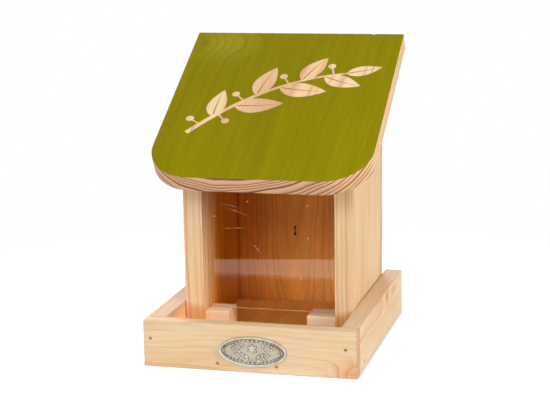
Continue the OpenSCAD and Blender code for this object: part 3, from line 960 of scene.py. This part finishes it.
def lathe(name, profile, steps=20):
    """A turned stock piece from (radius, height) points in millimetres, along Z."""
    bm = bmesh.new()
    rings = []
    for radius, height in profile:
        count = steps if radius > 0 else 1
        turns = [2 * pi * i / count for i in range(count)]
        rings.append([bm.verts.new((radius * cos(a), radius * sin(a), height)) for a in turns])
    for upper, lower in zip(rings, rings[1:]):
        for i in range(steps):
            j = (i + 1) % steps
            corners = [ring[k % len(ring)] for ring, k in ((upper, i), (upper, j), (lower, j), (lower, i))]
            bm.faces.new(list(dict.fromkeys(corners)))
    for face in bm.faces:
        face.smooth = True
    stock = from_bmesh(name, bm)
    stock.data.set_sharp_from_angle(angle=radians(40))
    return stock


# What each point of a layout carries: name, kind and field
CARRIED = (("aim", "FLOAT_VECTOR", "vector"), ("spin", "FLOAT", "value"), ("grow", "FLOAT", "value"))


def strewing(name):
    """A node tree that sets a stock piece on every point, turned to the point's aim and by its spin."""
    tree = bpy.data.node_groups.new(name, "GeometryNodeTree")
    for key, kind in (("Geometry", "Geometry"), ("Piece", "Object"), ("Size", "Float"), ("Seed", "Int"),
                      ("Finish", "Material")):
        tree.interface.new_socket(key, in_out="INPUT", socket_type="NodeSocket" + kind)
    tree.interface.new_socket("Geometry", in_out="OUTPUT", socket_type="NodeSocketGeometry")
    given = put(tree, "NodeGroupInput").outputs
    stock = put(tree, "GeometryNodeObjectInfo", {"Object": given["Piece"]})
    aim, spin, grow = (put(tree, "GeometryNodeInputNamedAttribute", {"Name": key}, data_type=kind)
                       for key, kind, field in CARRIED)
    turn = put(tree, "FunctionNodeAlignRotationToVector", {"Vector": aim}, axis="Z", pivot_axis="AUTO")
    waver = put(tree, "FunctionNodeRandomValue", {
        "Min": radians(-WAVER), "Max": radians(WAVER), "Seed": given["Seed"]}, data_type="FLOAT")
    spin = put(tree, "Math", spin, waver, operation="ADD")
    roll = put(tree, "FunctionNodeAxisAngleToRotation", (0, 0, 1), spin)
    turn = put(tree, "FunctionNodeRotateRotation", turn, roll, rotation_space="LOCAL")
    size = put(tree, "Math", grow, given["Size"], **TIMES)
    placed = put(tree, "GeometryNodeInstanceOnPoints", {
        "Points": given["Geometry"], "Instance": stock.outputs["Geometry"], "Rotation": turn, "Scale": size})
    real = put(tree, "GeometryNodeRealizeInstances", placed)
    done = put(tree, "GeometryNodeSetMaterial", {"Geometry": real, "Material": given["Finish"]})
    put(tree, "NodeGroupOutput", done)
    return tree


def strew(name, stock, places, material):
    """One mesh with the stock piece at each place: (point in mm, aim, spin in degrees, relative size)."""
    points, aims, spins, sizes = zip(*places)
    data = bpy.data.meshes.new(name)
    data.from_pydata([Vector(p) * MM for p in points], [], [])
    carried = [c for aim in aims for c in aim], [radians(spin) for spin in spins], sizes
    for (key, kind, field), values in zip(CARRIED, carried):
        data.attributes.new(key, kind, "POINT").data.foreach_set(field, values)
    obj = linked(name, data)
    tree = strewing(name + " layout")
    sockets = {item.name: item.identifier for item in tree.interface.items_tree if item.in_out == "INPUT"}
    maker = obj.modifiers.new("layout", "NODES")
    maker.node_group = tree
    for key, value in (("Piece", stock), ("Size", STOCK_SIZE), ("Seed", LAYOUT_SEED), ("Finish", material)):
        maker[sockets[key]] = value
    settle(obj)
    bpy.data.objects.remove(stock)
    return obj


def nail_stock():
    """A wire nail: a low domed head, a straight shank and a cut point."""
    tip = NAIL_SET + NAIL_LENGTH
    return lathe("nail", [
        (0, NAIL_SET), (NAIL_HEAD_RADIUS * 0.55, NAIL_SET + 0.04), (NAIL_HEAD_RADIUS * 0.85, NAIL_SET + 0.14),
        (NAIL_HEAD_RADIUS, NAIL_SET + 0.34), (NAIL_HEAD_RADIUS, HEAD_DEPTH - 0.1), (NAIL_RADIUS, HEAD_DEPTH),
        (NAIL_RADIUS, tip - 2 * NAIL_RADIUS), (0.1, tip), (0, tip)])


def make_nails():
    """Every nail, set a little below the wood's face."""
    steel = dull_metal("weathered nail steel", "#B89E7C", "#80684C", 1.2, 0.5)
    for name, node, *groups in (
            ("nails_front_ends", "front_end_nails", (end_nails, (0, 1, 0))),
            ("nails_front_floor", "front_floor_nails", (front_nails, (0, 1, 0))),
            ("nails_sides", "side_floor_nails", (left_nail, (1, 0, 0)), (right_nail, (-1, 0, 0))),
            ("nails_walls", "wall_floor_nails", (wall_nails, (0, 0, 1))),
            ("nails_back", "back_board_nails", (back_nails, (0, -1, 0)))):
        nails = [(place, aim) for group, aim in groups for place in group]
        places = [(place, aim, NAIL_TURN * number, 1) for number, (place, aim) in enumerate(nails)]
        finish_piece(strew(name, nail_stock(), places, steel), "house", "nail_steel", node)


def screw_stock():
    """A countersunk wood screw with a cross recess, head at the origin and tip along Z."""
    neck = SCREW_PLAY + SCREW_HEAD_RADIUS - SCREW_RADIUS
    screw = lathe("screw", [
        (0, SCREW_PLAY), (SCREW_HEAD_RADIUS - 0.1, SCREW_PLAY), (SCREW_HEAD_RADIUS, SCREW_PLAY + 0.08),
        (SCREW_RADIUS, neck + 0.08), (SCREW_RADIUS, SCREW_LENGTH - 2 * SCREW_RADIUS), (0.1, SCREW_LENGTH),
        (0, SCREW_LENGTH)], 24)
    half, narrow, deep = SCREW_RECESS
    arms = ((half, narrow), (narrow, half))
    return carve(screw, *[block_cutter((-x, -y, -CUT_PAST), (x, y, SCREW_PLAY + deep)) for x, y in arms])


def make_screws():
    """The screws of the hinge leaves, two in each leaf."""
    zinc = dull_metal("zinc-plated screw", "#C2C0BA", "#8E8C86", 2.0, 0.35)
    along = HINGE_BACK - LEAF_WIDTH + SCREW_EDGE
    up = SEAM.to_3x3() @ Vector((0, 0, 1))
    leaf_low, leaf_high = span("right_lower_leaf")
    for name, node, body, height, aim in (("screws_lower", "lower_leaf_screws", "house", 0, -up),
                                          ("screws_upper", "upper_leaf_screws", "roof", ROOF_SEAT, up)):
        low, high = span(node)
        first, last = low.x + SCREW_HEAD_RADIUS, high.x - SCREW_HEAD_RADIUS
        inner = leaf_low.x + leaf_high.x - last
        places = [(SEAM @ Vector((x, along, height)), aim, SCREW_TURN * number, 1)
                  for number, x in enumerate((first, -inner, inner, last))]
        finish_piece(strew(name, screw_stock(), places, zinc), body, "hinge_steel", node)


# Badge, in millimetres

# The rim from its foot to the field: how far in from the edge, and how high above the badge's back
RIM_PROFILE = ((0, 0), (0, 1.15), (0.12, 1.42), (0.4, 1.56), (0.8, 1.6), (1.2, 1.56), (1.5, 1.42),
               (1.8, 1.12), (2.1, 1.06), (2.2, BADGE_FIELD))
RIM_STEPS = 120
BEAD_RADIUS = 0.5
BEAD_INSET = 3.4
BEAD_COUNT = 46
LEAF_LENGTH = 5.2

# Half of a leaf's section: share of its half width, share of the ground's width, height of foot and of relief
LEAF_SECTION = ((1, 1, -0.1, 0), (1, 1, 0.08, 0), (1, 0.4, 0.08, 0), (1, 0, 0.1, 0.16), (0.5, 0, 0.1, 0.36))
LEAF_RIB = (0, 0, 0.1, 0.22)


def oval(inset, count):
    """Points in X and Z of the badge's outline, drawn in by inset."""
    half_x, half_z = (badge_high.x - badge_low.x) / 2, (badge_high.z - badge_low.z) / 2
    points = []
    for i in range(count):
        a = 2 * pi * i / count
        out = Vector((cos(a) / half_x, 0, sin(a) / half_z)).normalized()
        edge = Vector((badge_mid.x + half_x * cos(a), 0, badge_mid.z + half_z * sin(a)))
        points.append(edge - out * inset)
    return points


def leaf_stock():
    """A small cast leaf with a raised midrib on a thin dark ground, foot at the origin and tip along X."""
    bm = bmesh.new()
    steps = 10
    left = [(-y, -side, base, relief) for y, side, base, relief in LEAF_SECTION]
    section = [*left, LEAF_RIB, *reversed(LEAF_SECTION)]
    rows = []
    for i in range(steps + 1):
        t = i / steps
        half = sin(pi * t ** 0.75) ** 0.8
        lift = sin(pi * t) ** 0.5
        rows.append([bm.verts.new((LEAF_LENGTH * t, y * half + side * GROUND_WIDTH, base + relief * lift))
                     for y, side, base, relief in section])
    for first, second in zip(rows, rows[1:]):
        for a, b, c, d in zip(first, second, second[1:], first[1:]):
            bm.faces.new((a, b, c, d))
        bm.faces.new((first[0], first[-1], second[-1], second[0]))
    bm.faces.new(rows[0])
    bm.faces.new(rows[-1][::-1])
    return from_bmesh("leaf", bm)


def bead_stock(radius):
    """A cast bead on a thin dark ground."""
    skirt = radius + GROUND_WIDTH
    return lathe("bead", [
        (0, radius * 0.75), (radius * 0.5, radius * 0.66), (radius * 0.87, radius * 0.4), (radius, 0.09),
        (skirt, 0.07), (skirt, -0.1), (0, -0.1)], 12)


def badge_leaves():
    """Two curved sprays of paired leaves, three leaves beside each, and a rosette: (place, angle, size)."""
    leaves = []
    for side in (-1, 1):
        stem = ((side * 2.5, -5.4), (side * 10, -5.6), (side * 14.5, 3.6))
        for number in range(4):
            t = 0.06 + 0.28 * number
            point, way = curve_at(t, *stem)
            leaves += [(point, heading(way) + lean, 0.86 - 0.2 * t) for lean in (-48, 48)]
        tip, way = curve_at(1, *stem)
        leaves.append((tip, heading(way), 0.6))
        leaves += [(Vector((side * 7.2, 5.4)), 90 - side * (90 + 50 * i), 0.66) for i in (-1, 0, 1)]
    return leaves + [(Vector((0, 2.2)), 90 + 60 * i, 0.8) for i in range(6)]


def make_badge():
    """Oval cast badge: a rolled rim, a bead border, leaf sprays and a rosette."""
    pewter = cast_pewter()
    bm = bmesh.new()
    loops = [[bm.verts.new((p.x, badge_high.y - height, p.z)) for p in oval(inset, RIM_STEPS)]
             for inset, height in RIM_PROFILE]
    last = [v.co.copy() for v in loops[-1]]
    for share in (0.75, 0.5, 0.25):
        loops.append([bm.verts.new(Vector((badge_mid.x, c.y, badge_mid.z)).lerp(c, share)) for c in last])
    for outer, inner in zip(loops, loops[1:]):
        band(bm, outer, inner)
    bm.faces.new(loops[-1])
    bm.faces.new(loops[0])
    plate = from_bmesh("badge_plate", bm, pewter)
    plate.data.set_sharp_from_angle(angle=radians(50))
    pins_low, pins_high = span("badge_pins")
    holes = [(x, badge_low.y, (pins_low.z + pins_high.z) / 2)
             for x in (pins_low.x + PIN_HEAD_RADIUS, pins_high.x - PIN_HEAD_RADIUS)]
    carve(plate, drill(holes, (0, 1, 0), PIN_HOLE_RADIUS, PIN_HOLE_DEPTH))
    finish_piece(plate, "house", "badge_metal", "badge")

    level = badge_high.y - BADGE_FIELD
    beads = [((p.x, level, p.z), (0, -1, 0), 0, 1) for p in oval(BEAD_INSET, BEAD_COUNT)]
    finish_piece(strew("badge_beads", bead_stock(BEAD_RADIUS), beads, pewter), "house", "badge_metal")
    places = [((badge_mid.x + p.x, level, badge_mid.z + p.y), (0, -1, 0), angle, grow)
              for p, angle, grow in badge_leaves()]
    finish_piece(strew("badge_leaves", leaf_stock(), places, pewter), "house", "badge_metal")


def dress_nodes():
    """Gives each node that stays its real finish."""
    steel = dull_metal("blackened steel wire", "#1E140E", "#0E0906", 1.5, 0.5)
    zinc = dull_metal("zinc-plated steel", "#C9C8C4", "#9C9A94", 4.0, 0.35)
    tin = dull_metal("tinned pin", "#B4AB9A", "#857C6C", 1.0, 0.4)
    leaves = [side + kind for side in ("left_", "right_") for kind in ("lower_leaf", "upper_leaf")]
    for finish, nodes in ((tin, ["badge_pins"]), (steel, ["block_brads", "back_staple"]),
                          (zinc, ["hinge_pins", *leaves])):
        for node in nodes:
            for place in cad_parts[node].material_slots:
                place.material = finish


scene.view_settings.view_transform = "Standard"
make_camera()
make_world()
make_floor()
for lamp in LAMPS:
    make_lamp(*lamp)
make_tray()
make_walls()
make_blocks()
make_roof()
make_window()
make_nails()
make_screws()
make_badge()
dress_nodes()
